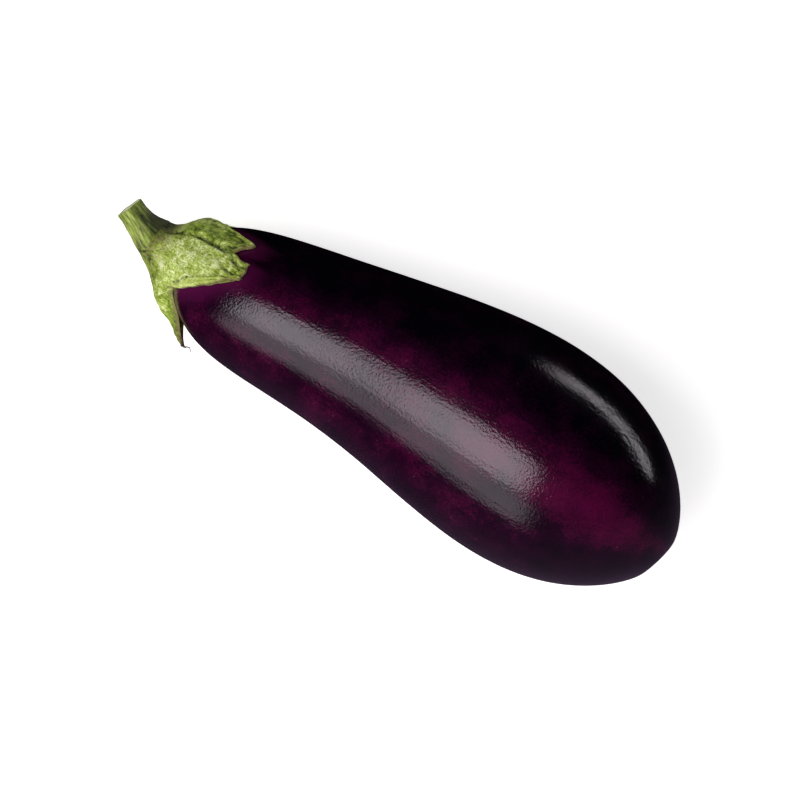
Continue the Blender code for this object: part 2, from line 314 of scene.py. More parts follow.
def buildFruit():
    rings, segments = fruitShape["rings"], fruitShape["segments"]
    along = (1 - np.cos(np.linspace(0, math.pi, rings + 1)[1:-1])) / 2
    around = np.linspace(0, 2 * math.pi, segments, endpoint=False)
    alongGrid, aroundGrid = np.meshgrid(along, around, indexing="ij")
    points = fruitPoint(alongGrid, aroundGrid)
    normals = fruitNormal(alongGrid, aroundGrid)
    ends = fruitPoint(np.array([1e-6, 1 - 1e-6]), np.array([0., 0.]))
    # slow dents, faded out under the calyx and at the blossom end
    fade = ease(alongGrid, .12, .3) * (1 - ease(alongGrid, .93, .99))
    dents = softNoise(points, .035, 1, (1.8, 1, 1)) + .5 * softNoise(points, .014, 2, (1.6, 1, 1))
    points = points + normals * (fruitShape["dent"] * fade * dents)[..., None]
    allPoints = np.concatenate([points.reshape(-1, 3), ends])
    # the scar: a shallow corky disc with a low rim
    fromScar = np.linalg.norm(allPoints - pressMiddle, axis=-1)
    ragged = 1 + .16 * softNoise(allPoints, .003, 3)
    share = fromScar / (fruitShape["scarRadius"] * ragged)
    sink = fruitShape["scarRim"] * bump(share, 1.12, .16)
    sink -= fruitShape["scarDepth"] * (1 - ease(share, .75, 1.0))
    sink += fruitShape["scarRoughness"] * softNoise(allPoints, .0009, 4) * (share < 1)
    allPoints = allPoints + pressNormal * sink[:, None]
    scar = 1 - ease(share, .92, 1.06)

    aroundAll = np.concatenate([aroundGrid.ravel(), [0, 0]])
    alongAll = np.concatenate([alongGrid.ravel(), [0, 1]])
    degrees = np.degrees(aroundAll)
    # magenta skin, partly paler skin where the sun did not reach and partly painted light on the sides that
    # face the lamps: a band along the upper side, a patch before the blossom end, a weaker one below the band
    # and one on the far side; the strip between the last two stays dark, and the side at 138 degrees, turned
    # away from the lamps, is darkened with painted shade
    band = bump(degrees, 86 + 6 * np.sin(alongAll * 5), 15 + 5 * alongAll)
    band = band * (.36 + .14 * ease(alongAll, .3, .6))
    endGlow = bump(degrees, 74, 30) * ease(alongAll, .72, .86) * (1 - ease(alongAll, .88, .975)) * .30
    under = .34 * bump(degrees, 45, 40) * (1 - ease(alongAll, .6, .92))
    farSide = .30 * bump(degrees, 262, 40)
    flushAndPaintedLight = np.clip(.18 + band + endGlow + under + farSide, 0, 1) * (1 - .85 * bump(degrees, 138, 36))
    leafShade = leafShadow(alongAll, degrees)
    faces = gridFaces(rings - 1, segments, True).tolist()
    first, last = len(allPoints) - 2, len(allPoints) - 1
    bottom = (rings - 2) * segments
    faces += [[first, (i + 1) % segments, i] for i in range(segments)]
    faces += [[last, bottom + i, bottom + (i + 1) % segments] for i in range(segments)]
    masks = {"flushAndPaintedLight": flushAndPaintedLight, "leafShade": leafShade, "scar": scar}
    return meshPiece("fruit_skin", allPoints, faces, masks, skinMaterial(), "fruit")


# the calyx

calyxShape = {
    # angle, and distance along the skin from the stem end, of the five notches between the lobes
    "notches": [(-50, .0195), (31, .0170), (110, .0378), (154, .0180), (246, .0195)],
    # for each lobe: tip angle, tip distance, bluntness, taper, tip lift, shoulder lift
    "lobes": [(-7, .0352, .02, .34, .0028, .0034), (98, .0468, .16, .78, .0004, .0003),
              (121, .0426, .12, .70, .0005, .0003), (226, .0385, .10, .45, .0004, .0002),
              (276, .0380, .12, .60, .0003, .0003)],
    "fullSide": [0, .50, 0, 0, 0],     # how much blunter a lobe's later side is than its first
    # how far each lobe's first and second corner fall back from its tip
    "round": [(.0010, .0010), (.0044, .0010), (.0012, .0012), (.0010, .0010), (.0010, .0010)],
    "curl": [.0020, 0, 0, 0, 0],        # how far a lobe's tip lifts off beyond that
    "hump": .0011,                      # extra flesh beside the stem on the far side
    "thickness": [(0, .0085), (.0055, .0085), (.0125, .0052), (.0190, .0017), (.0280, .0014), (.046, .0010)],
    "least": .00025,           # the thinnest that a blade may get
    "gap": .00015,
    "columns": 80,
    "collarRows": 30,
    "cupRows": 16,
    "bladeRows": 68,
    "collarEnd": .0150,        # distance from the stem end where the crown starts to rise to the stem
    # how strongly each lobe's first and second margin is rolled, and how pale the lobe is
    "roll": [(.4, .15), (1.0, .25), (.3, .9), (.7, .7), (.7, .7)],
    "pale": [.50, .74, .53, .42, .50],
    "edgeRound": .0011,        # width of the rounding of the free edge
    "beadWidth": .0022,
    "creaseWidth": .0005,
    # how far each pattern stands out of the leaf's outer face, or sinks into it
    "relief": {"bead": .00045, "crease": -.00055, "midrib": .00022, "furrow": -.00040, "wrinkles": .00036,
               "lumps": .00048, "velvet": .00015, "fold": -.00100, "fan": .00016},
}


def skinTable():
    shares = np.linspace(0, 1, 1200) ** 2 * .4
    radii = sectionRadius(shares, np.zeros_like(shares))
    steps = np.hypot(np.diff(shares * fruitShape["length"]), np.diff(radii))
    return shares, np.concatenate([[0], np.cumsum(steps)])


skinShares, skinDistances = skinTable()


def skinAt(distance, angle):
    along = np.maximum(np.interp(distance, skinDistances, skinShares), 1e-5)
    return fruitPoint(along, angle), fruitNormal(along, angle)


def lobeEdges(lobe):
    startAngle, startDistance = calyxShape["notches"][lobe]
    endAngle, endDistance = calyxShape["notches"][(lobe + 1) % 5]
    endAngle += 360 if endAngle < startAngle else 0
    return startAngle, startDistance, endAngle, endDistance


def leafShadow(along, degrees):
    # 1 on skin that the calyx's lobes reach over or nearly reach, fading out past their tips
    distance = np.interp(along, skinShares, skinDistances, right=1)
    reach = np.zeros_like(distance)
    for lobe, (tipAngle, tipDistance, *_) in enumerate(calyxShape["lobes"]):
        startAngle, startDistance, endAngle, endDistance = lobeEdges(lobe)
        turned = (degrees - startAngle) % 360 + startAngle
        angles = [startAngle, tipAngle - 6, tipAngle + 6, endAngle]
        reaches = [startDistance, tipDistance, tipDistance, endDistance]
        inside = (turned >= startAngle) & (turned <= endAngle)
        reach = np.where(inside, np.interp(turned, angles, reaches), reach)
    return .75 * (1 - ease(distance - reach, -.004, .011))


def lobeGrid(lobe):
    # angle, distance and share across (-1 to 1) of one lobe's grid: rows of the cup, then of the blade
    tipAngle, tipDistance, bluntness, taper = calyxShape["lobes"][lobe][:4]
    startAngle, startDistance, endAngle, endDistance = lobeEdges(lobe)
    across = (1 - np.cos(np.linspace(0, math.pi, calyxShape["columns"] + 1))) / 2
    cup = np.linspace(0, 1, calyxShape["cupRows"] + 1)
    blade = np.linspace(0, 1, calyxShape["bladeRows"] + 1)[1:] ** .9
    cupEdge = startDistance + (endDistance - startDistance) * across
    cupAngle = np.broadcast_to(startAngle + (endAngle - startAngle) * across, (len(cup), len(across)))
    cupDistance = calyxShape["collarEnd"] + (cupEdge - calyxShape["collarEnd"]) * cup[:, None]
    off = 2 * across - 1
    blunt = bluntness + calyxShape["fullSide"][lobe] * ease(off, -.2, 1)
    narrowing = 1 - (1 - blunt) * blade[:, None] ** taper
    bladeAngle = tipAngle + (cupAngle[:1] - tipAngle) * narrowing
    firstRound, secondRound = calyxShape["round"][lobe]
    reach = tipDistance - np.where(off < 0, firstRound, secondRound) * np.abs(off) ** 2.5
    # the tip is a little torn, and the sides sway
    reach = reach + .0007 * softNoise(np.stack([off * .006, off * 0 + lobe, off * 0], axis=-1), .0012, 5)
    bladeDistance = cupEdge + (reach - cupEdge) * blade[:, None]
    level = 0 * bladeDistance
    sway = softNoise(np.stack([bladeDistance, np.sign(off) + level, level], axis=-1), .0035, 6)
    bladeAngle = bladeAngle + 2.2 * sway * off * np.sin(math.pi * blade[:, None])
    angle = np.radians(np.concatenate([cupAngle, bladeAngle]))
    distance = np.concatenate([cupDistance, bladeDistance])
    off = np.broadcast_to(off, angle.shape)
    return angle, distance, off


def lobeLift(distance, off, lobe):
    # how far the lobe's inner face stands off the skin
    tipLift, shoulderLift = calyxShape["lobes"][lobe][4:]
    middle = 1 - off * off
    shoulder = ease(distance, .002, .011) * (1 - ease(distance, .017, .027))
    lift = shoulderLift * middle * shoulder + tipLift * middle * ease(distance, .010, .022)
    lift = lift + calyxShape["curl"][lobe] * ease(distance, .022, .036)
    return lift + tipLift * (1 - middle) * ease(distance, .024, .036)


def marginDistance(base):
    # for every point of a lobe's inner face, how far in it lies from the lobe's free edge
    rows, columns = base.shape[:2]
    free = calyxShape["cupRows"]
    edge = np.concatenate([base[free:, 0], base[-1], base[free:, -1]])
    far = np.empty((rows, columns))
    for row in range(rows):
        gaps = np.linalg.norm(base[row][:, None] - edge[None], axis=-1)
        far[row] = gaps.min(axis=1)
    far[free:, 0] = far[free:, -1] = far[-1] = 0
    return far


def lobeFaces(lobe):
    # outer and inner face of one lobe, and the masks that colour it
    tipDistance = calyxShape["lobes"][lobe][1]
    angle, distance, off = lobeGrid(lobe)
    skin, normal = skinAt(distance, angle)
    lift = lobeLift(distance, off, lobe)
    inner = skin + normal * (calyxShape["gap"] + lift)[..., None]
    margin = marginDistance(inner)
    thickness = np.interp(distance, *zip(*calyxShape["thickness"]))
    humped = bump(np.degrees(angle), 160, 38) * bump(distance, .015, .006)
    thickness = thickness + calyxShape["hump"] * humped
    width = np.linalg.norm(inner[:, -1] - inner[:, 0], axis=-1)[:, None] / 2
    sideways = off * width  # metres from the lobe's midrib

    # the free edge is rounded over
    rim = np.clip(margin / calyxShape["edgeRound"], 0, 1)
    rounded = np.sqrt(np.clip(1 - (1 - rim) ** 2, 0, 1))

    # margins rolled into a bead, with a dark crease inside it
    firstRoll, secondRoll = calyxShape["roll"][lobe]
    roll = np.where(off < 0, firstRoll, secondRoll)
    wander = softNoise(skin, .006, 10 + lobe)
    beadWidth = calyxShape["beadWidth"] + .0007 * wander
    if lobe == 1:  # the widest bead, on the margin above the low lobe
        beadWidth = beadWidth + .0014 * bump(distance, .030, .008) * (off < 0)
    onBlade = ease(distance, .017, .023)
    bead = np.sin(math.pi * np.clip(margin / beadWidth, 0, 1)) * roll * onBlade
    patchy = .75 + .5 * softNoise(skin, .0028, 20 + lobe) + .4 * softNoise(skin, .0010, 25 + lobe)
    patchy = np.clip(patchy, 0, 1)
    creaseAt = beadWidth * 1.12 + .00035 * softNoise(skin, .0015, 27 + lobe)
    fromCrease = (margin - creaseAt) / calyxShape["creaseWidth"]
    crease = bump(fromCrease, 0, 1) * roll * onBlade * patchy

    # midrib, side ribs fanning out to the tip, and wrinkles across
    tip = ease(distance, tipDistance - .020, tipDistance - .002)
    midrib = bump(sideways, 0, .0011) * ease(distance, .010, .016) * (1 - tip)
    fan = np.cos(off * (12 + 7 * tip) + 2.2 * softNoise(skin, .006, 30 + lobe))
    furrow = np.clip(-fan, 0, 1) ** 3 * ease(distance, tipDistance - .015, tipDistance - .004)
    fan = np.clip(fan, -1, .6) * ease(distance, .014, .030)
    wrinkles = softNoise(skin, .0022, 40 + lobe, (1, 1.6, 1.6)) * ease(distance, .012, .02)
    lumps = softNoise(skin, .0050, 50 + lobe)
    velvet = softNoise(skin, .0009, 60 + lobe, (1.6, 1, 1))

    # the fold that runs back from the notch between the second and third lobe
    fold = np.zeros_like(off)
    if lobe in (1, 2):
        foldAngle = np.radians(108 + 6 * ease(.035 - distance, 0, .018))
        fromFold = (angle - foldAngle) * .020
        fold = bump(fromFold, 0, .0007) * ease(distance, .013, .020) * (1 - ease(distance, .034, .037))
        lumps = lumps + 1.4 * (lobe == 2) * bump(fromFold, .0022, .0016) * ease(distance, .014, .024)

    fan = fan * np.clip(thickness / .0016, 0, 1)
    patterns = {"bead": bead, "crease": crease, "midrib": midrib, "furrow": furrow, "wrinkles": wrinkles,
                "lumps": lumps, "velvet": velvet, "fold": fold, "fan": fan}
    height = thickness + sum(depth * patterns[label] for label, depth in calyxShape["relief"].items())
    height = np.maximum(height, calyxShape["least"]) * rounded
    outer = inner + normal * height[..., None]
    masks = {
        "dried": (lobe == 0) * ease(distance, tipDistance - .0032, tipDistance - .0012),
        "margin": margin * 1000,
        # crease, line and lineShare place painted shade: in the fold, in the furrows at the tips, and in the
        # groove inside the bead
        "crease": np.clip(fold + 1.3 * furrow * np.clip(.8 + softNoise(skin, .003, 33), 0, 1), 0, 1),
        "line": np.clip(fromCrease, -4, 4),
        "lineShare": np.clip(1.25 * roll * onBlade * patchy, 0, 1),
        "bead": np.clip(bead, 0, 1),
        "tip": tip,
    }
    return outer, inner, masks, angle


def palenessAt(angle):
    # each lobe has its own green; neighbours blend, except across the fold
    degrees = (np.degrees(angle) + 50) % 360 - 50
    stops = [-50, -6, 30, 46, 80, 106, 110, 131, 150, 200, 246, 278, 310]
    pale = calyxShape["pale"]
    values = [.55, *[pale[0]] * 2, *[pale[1]] * 3, *[pale[2]] * 3, pale[3], .5, pale[4], .55]
    return np.interp(degrees, stops, values)


def collarRing(angle):
    # where the crown meets the stem: a ring around the stalk, higher on the side it leans away from
    reach = .0042 + .0022 * np.cos(angle)
    return stemSurface(reach / stemShape["reach"], angle)


def buildCalyx():
    columns = calyxShape["columns"]
    collarRows = calyxShape["collarRows"]
    points, faces = [], []
    masksAll = {label: [] for label in leafMasks}
    start = 0
    for lobe in range(5):
        outer, inner, masks, angle = lobeFaces(lobe)
        # crown: from a ring around the stem down to the first cup row, in one smooth curve
        top, down = collarRing(angle[0])
        foot = outer[0]
        footAlong = unit(unit(outer[3] - outer[0]) + unit(inner[3] - inner[0]))
        share = np.linspace(0, 1, collarRows + 1)[:-1][:, None, None]
        reach = np.linalg.norm(foot - top, axis=-1)[None, :, None]
        # on the side away from the low lobe the crown dips beside the stem, then humps
        dip = ((1 - np.cos(angle[0])) / 2)[None, :, None] ** 2
        down = unit(down * (1 - dip) + np.array([1., 0, 0]) * dip)
        late = 3 * share ** 2 - 2 * share ** 3
        leave = share ** 3 - 2 * share ** 2 + share
        arrive = share ** 3 - share ** 2
        crown = (1 - late) * top + late * foot
        crown = crown + reach * (leave * down * (.7 + .6 * dip) + arrive * footAlong)
        crownNormal = unit(np.cross(np.gradient(crown, axis=0), np.gradient(crown, axis=1)))
        fromAxis = crown - np.array([0, 0, fruitShape["neckLift"]])
        inwards = (crownNormal * fromAxis).sum(axis=-1, keepdims=True) < 0
        crownNormal = np.where(inwards, -crownNormal, crownNormal)
        rough = .00038 * softNoise(crown, .0040, 70) + .00016 * softNoise(crown, .0014, 71)
        rough = rough * np.sin(math.pi * share[..., 0])
        crown = crown + crownNormal * rough[..., None]
        outside = np.concatenate([crown, outer])
        # the inner face starts at the cup and meets the outer face around the free edge
        points += [outside.reshape(-1, 3), inner.reshape(-1, 3)]
        faces += gridFaces(len(outside), columns + 1, False, start)[:, ::-1].tolist()
        start += outside[..., 0].size
        faces += gridFaces(len(inner), columns + 1, False, start).tolist()
        start += inner[..., 0].size
        # on the crown some masks stay as they are in the first cup row, and the others are 0
        block = (collarRows, columns + 1)
        masks["pale"] = palenessAt(angle)
        collar = np.concatenate([1 - np.broadcast_to(share[..., 0], block), np.zeros_like(angle)])
        turned = np.degrees(np.concatenate([np.broadcast_to(angle[0], block), angle])) % 360
        # painted shade on the crown beside the stem, on the side turned away from the lamps
        paintedShade = bump(turned, 138, 40) * ease(collar, .30, .85)
        for label, values in masks.items():
            onCrown = values[0] if label in ("margin", "line", "pale") else 0
            outsideValues = np.concatenate([np.broadcast_to(onCrown, block), values])
            masksAll[label] += [outsideValues.ravel(), values.ravel()]
        masksAll["collar"] += [collar.ravel(), np.zeros(angle.size)]
        masksAll["paintedShade"] += [paintedShade.ravel(), np.zeros(angle.size)]
    masksAll = {label: np.concatenate(blocks) for label, blocks in masksAll.items()}
    points = np.concatenate(points)
    piece = meshPiece("calyx_leaf", points, faces, masksAll, calyxMaterial(), "calyx")
    weldSeams(piece)
    return piece


def weldSeams(piece):
    # joins the lobes to each other, and each lobe's two faces along its free edge
    bm = bmesh.new()
    bm.from_mesh(piece.data)
    bmesh.ops.remove_doubles(bm, verts=bm.verts, dist=2e-6)
    bm.to_mesh(piece.data)
    bm.free()
    piece.data.shade_smooth()


leafMasks = ("margin", "crease", "line", "lineShare", "bead", "tip", "dried", "pale", "collar", "paintedShade")
leafLook = {
    "hairWhite": "#e9f2b6",
    "paleGreen": "#c3d872",
    "midGreen": "#98ae34",
    "deepGreen": "#64800e",
    "darkGreen": "#27340a",
    # colour of the painted shade in the creases
    "crease": "#222a0b",
    "bead": "#bfd25e",
    "brown": "#82724a",
    "edge": "#a3a565",
    "dryTip": "#3b3224",
    # colour of the painted shade on the crown beside the stem
    "shadeGreen": "#161c0a",
    "hairSheen": "#dfe6b4",
}


def calyxMaterial():
    # calyx: thick green leaf flesh under a felt of short pale hairs, drying brown at the margins.
    # gives a matt, streaky green, whitish where the hairs are thick, with tan edges, and painted shade in the
    # creases and on the crown around the stem
    material, tree, shader = newMaterial("felted green calyx leaf")
    read = {label: addNode(tree, "Attribute", attribute_name=label).outputs["Fac"] for label in leafMasks}
    grown = addNode(tree, "Attribute", attribute_name="grown").outputs["Vector"]
    # hair tufts 0.6 mm wide and 2.4 mm long lying along the lobes: drawn twice as coarse as real ones
    combed = addNode(tree, "Mapping", {"Vector": grown, "Scale": (420, 1700, 1700)})
    tufts = addNode(tree, "TexNoise",
                    {"Vector": combed, "Scale": 1, "Detail": 4, "Roughness": .7, "Distortion": .6})
    # blotches of thinner felt 2.5 mm across, on a slow drift over 8 mm
    mottle = addNode(tree, "TexNoise",
                     {"Vector": grown, "Scale": 400, "Detail": 5, "Roughness": .65, "Distortion": .8})
    drift = addNode(tree, "TexNoise", {"Vector": grown, "Scale": 125, "Detail": 3, "Roughness": .55})
    # tone of the felt: each lobe's own paleness, plus the three patterns
    tone = read["pale"]
    for pattern, strength in ((drift, 1.3), (mottle, 1.6), (tufts, 2.0)):
        centred = addNode(tree, "Math", {0: pattern, 1: .5}, operation="SUBTRACT")
        tone = addNode(tree, "Math", {0: centred, 1: strength, 2: tone},
                       operation="MULTIPLY_ADD").outputs[0]
    # darker towards the tips, and painted shade on the crown where it rises to the stem
    for mask, change in (("tip", -.20), ("collar", -.44)):
        tone = addNode(tree, "Math", {0: read[mask], 1: change, 2: tone},
                       operation="MULTIPLY_ADD").outputs[0]
    stops = [(0, leafLook["darkGreen"]), (.24, leafLook["deepGreen"]), (.53, leafLook["midGreen"]),
             (.80, leafLook["paleGreen"]), (1, leafLook["hairWhite"])]
    felt = addNode(tree, "ValToRGB", {"Fac": tone}, stops=stops).outputs[0]
    beaded = addNode(tree, "Math", {0: read["bead"], 1: .6}, operation="MULTIPLY")
    felt = addNode(tree, "Mix", {0: beaded, 6: felt, 7: leafLook["bead"]}, data_type="RGBA").outputs[2]
    # painted shade darkens the creases, more in some places than others
    creaseShade = addNode(tree, "MapRange", {0: tufts, 1: .38, 2: .60, 3: 1.5, 4: .45})
    # painted shade: a dark line, about 1 mm wide, in the groove where the rolled margin meets the blade
    fromLine = addNode(tree, "Math", {0: read["line"]}, operation="ABSOLUTE")
    lineShade = addNode(tree, "MapRange", {0: fromLine, 1: .1, 2: 1.3, 3: 1, 4: 0})
    lineShade = addNode(tree, "Math", {0: lineShade, 1: read["lineShare"]}, operation="MULTIPLY")
    deepest = addNode(tree, "Math", {0: lineShade, 1: read["crease"]}, operation="MAXIMUM")
    creaseShade = addNode(tree, "Math", {0: deepest, 1: creaseShade}, operation="MULTIPLY", use_clamp=True)
    felt = addNode(tree, "Mix", {0: creaseShade, 6: felt, 7: leafLook["crease"]}, data_type="RGBA").outputs[2]
    # pale dry edge 0.4 mm wide, brown and wider at the tips
    wide = addNode(tree, "Math", {0: read["tip"], 1: .9, 2: .35}, operation="MULTIPLY_ADD")
    dry = addNode(tree, "Math", {0: read["margin"], 1: wide}, operation="DIVIDE")
    ragged = addNode(tree, "Math", {0: tufts, 1: 2.2, 2: dry}, operation="MULTIPLY_ADD")
    dryShare = addNode(tree, "MapRange", {0: ragged, 1: 1.2, 2: 2.0, 3: .85, 4: 0})
    edge = addNode(tree, "Mix", {0: read["tip"], 6: leafLook["edge"], 7: leafLook["brown"]},
                   data_type="RGBA").outputs[2]
    felt = addNode(tree, "Mix", {0: dryShare, 6: felt, 7: edge}, data_type="RGBA").outputs[2]
    # where the crown meets the stem it is rubbed brown in spots
    rubbed = addNode(tree, "MapRange", {0: mottle, 1: .43, 2: .58, 3: 0, 4: 1.1})
    rubbed = addNode(tree, "Math", {0: read["collar"], 1: rubbed}, operation="MULTIPLY", use_clamp=True)
    felt = addNode(tree, "Mix", {0: rubbed, 6: felt, 7: leafLook["brown"]}, data_type="RGBA").outputs[2]
    # painted shade: beside the stem, on the side turned away from the lamps, the crown is darkened nearly
    # black
    shadeShare = addNode(tree, "MapRange", {0: tufts, 1: .35, 2: .65, 3: 1.1, 4: .6})
    shadeShare = addNode(tree, "Math", {0: read["paintedShade"], 1: shadeShare}, operation="MULTIPLY", use_clamp=True)
    felt = addNode(tree, "Mix", {0: shadeShare, 6: felt, 7: leafLook["shadeGreen"]},
                   data_type="RGBA").outputs[2]
    felt = addNode(tree, "Mix", {0: read["dried"], 6: felt, 7: leafLook["dryTip"]},
                   data_type="RGBA").outputs[2]
    tree.links.new(felt, shader.inputs["Base Color"])
    roughness = addNode(tree, "MapRange", {0: mottle, 1: .3, 2: .7, 3: .5, 4: .8})
    tree.links.new(roughness.outputs[0], shader.inputs["Roughness"])
    shader.inputs["IOR"].default_value = 1.40  # leaf tissue
    shader.inputs["Sheen Weight"].default_value = .04
    shader.inputs["Sheen Roughness"].default_value = .5
    shader.inputs["Sheen Tint"].default_value = (*linear(leafLook["hairSheen"]), 1)
    felting = addNode(tree, "Bump", {"Height": tufts, "Strength": .9, "Distance": .0006})
    pitted = addNode(tree, "Bump", {"Height": mottle, "Strength": .9, "Distance": .0012, "Normal": felting})
    tree.links.new(pitted.outputs[0], shader.inputs["Normal"])
    return material


# the stem

stemShape = {
    "base": (-.0101, -.0015, .0060),
    "end": (-.0263, .0025, .0134),
    "radius": .0052,
    "ridges": 5,
    "ridgeShare": .06,
    "flare": 1.36,
    "cutFlare": 1.05,
    "cutSlant": .16,
    "ridgeTurn": .1,
    "sunk": .22,               # how far, as a share of its reach, the stalk goes on inside the crown
    "sides": 180,
    "rings": 130,
    "capRings": 26,
}
stemBase = np.array(stemShape["base"])
stemEnd = np.array(stemShape["end"])
stemShape["reach"] = float(np.linalg.norm(stemEnd - stemBase))


def stemLine(share):
    # the stalk's centre line: a curve that leaves along the fruit's axis, and its direction
    share = np.asarray(share, float)[..., None]
    third = stemShape["reach"] / 3
    second = stemBase + np.array([-third, 0, 0])
    towards = unit(stemEnd - second)
    lastHandle = stemEnd - towards * third
    point = ((1 - share) ** 3 * stemBase + 3 * (1 - share) ** 2 * share * second
             + 3 * (1 - share) * share ** 2 * lastHandle + share ** 3 * stemEnd)
    direction = 3 * ((1 - share) ** 2 * (second - stemBase) + 2 * (1 - share) * share * (lastHandle - second)
                     + share ** 2 * (stemEnd - lastHandle))
    return point, unit(direction)


def stemSurface(share, angle, detail=False):
    # points of the stalk's side and the way down it; share runs from 0 at the crown to 1 at the cut
    centre, direction = stemLine(share)
    first = unit(np.array([0, -1., 0]) - direction * (-direction[..., 1:2]))
    second = np.cross(direction, first)
    flare = stemShape["flare"] + (stemShape["cutFlare"] - stemShape["flare"]) * ease(share, 0, 1)
    flare = flare + .34 * bump(share, .05, .34) - 1.1 * ease(share, .16, -.22)
    ridge = np.cos(stemShape["ridges"] * (angle + stemShape["ridgeTurn"]))
    radius = stemShape["radius"] * flare * (1 + stemShape["ridgeShare"] * ridge)
    if detail:
        circle = [np.cos(angle) * stemShape["radius"], np.sin(angle) * stemShape["radius"]]
        fine = softNoise(np.stack([share * .010, *circle], axis=-1), .0011, 80)
        coarse = softNoise(np.stack([share * .012, *circle], axis=-1), .0028, 81)
        radius = radius + .00012 * fine + .00022 * coarse
    across = first * np.cos(angle)[..., None] + second * np.sin(angle)[..., None]
    return centre + across * radius[..., None], -direction + across * .25


def buildStem():
    sides, rings, capRings = stemShape["sides"], stemShape["rings"], stemShape["capRings"]
    heights = np.linspace(-stemShape["sunk"], 1, rings)
    around = np.linspace(0, 2 * math.pi, sides, endpoint=False)
    share, angle = np.meshgrid(heights, around, indexing="ij")
    wall, _ = stemSurface(share, angle, True)
    centre, direction = stemLine(np.array([1.0]))
    # the knife went through at a slant: the top side is left longer
    slant = stemShape["cutSlant"] * stemShape["radius"] * np.sin(angle) * ease(share, .5, 1)
    wall = wall + direction[0] * slant[..., None]
    rimRing = wall[-1]
    blocks = [wall]
    insets = 1 - np.arange(1, capRings + 1) / (capRings + .5)
    for inset in insets:
        ring = centre[0] + (rimRing - centre[0]) * inset
        # the knife left a soft rim, a sunken ring and a slightly raised pith
        rise = .00025 * bump(inset, .93, .05) - .00035 * bump(inset, .72, .16) + .00018 * bump(inset, 0, .3)
        rise = rise + .00010 * softNoise(ring, .0009, 90) + .0001 * (1 - inset)
        ring = ring + direction[0] * rise[:, None]
        blocks.append(ring[None])
    points = np.concatenate(blocks).reshape(-1, 3)
    rows = rings + capRings
    faces = gridFaces(rows, sides, True)[:, ::-1].tolist()
    tip = len(points)
    points = np.concatenate([points, centre])
    faces += [[tip, (rows - 1) * sides + (i + 1) % sides, (rows - 1) * sides + i] for i in range(sides)]
    # painted shade: on the side turned away from the lamps the foot of the stalk is darkened
    paintedShade = np.clip(1.35 * ease(share, 1.15, .35) * bump(np.degrees(angle), 132, 44), 0, 1)
    ridge = np.cos(stemShape["ridges"] * (angle + stemShape["ridgeTurn"]))
    # each mask on the side, on the cut end's rings and at its middle
    onParts = {
        "paintedShade": (paintedShade, 0, 0),
        "strandY": (np.cos(angle), 0, 0),
        "strandZ": (np.sin(angle), 0, 0),
        "cut": (0, 1, 1),
        "radial": (1, insets[:, None], 0),
        "ridge": (ridge, 0, 0),
        "height": (share, 1, 1),
    }
    masks = {label: np.concatenate([np.broadcast_to(onSide, (rings, sides)).ravel(),
                                    np.broadcast_to(onCut, (capRings, sides)).ravel(), [middle]])
             for label, (onSide, onCut, middle) in onParts.items()}
    return meshPiece("stem_stalk", points, faces, masks, stemMaterial(), "stem")


stalkLook = {
    "pale": "#adbb68",
    "light": "#8ca03a",
    "mid": "#6c8228",
    "dark": "#27300e",
    # colour of the painted shade at the foot of the stalk
    "shadeGreen": "#12170a",
    "cutFace": "#c9d3a0",
    "cutPith": "#b4bf86",
    "cutRim": "#7d8c44",
    "brown": "#7a6b42",
}


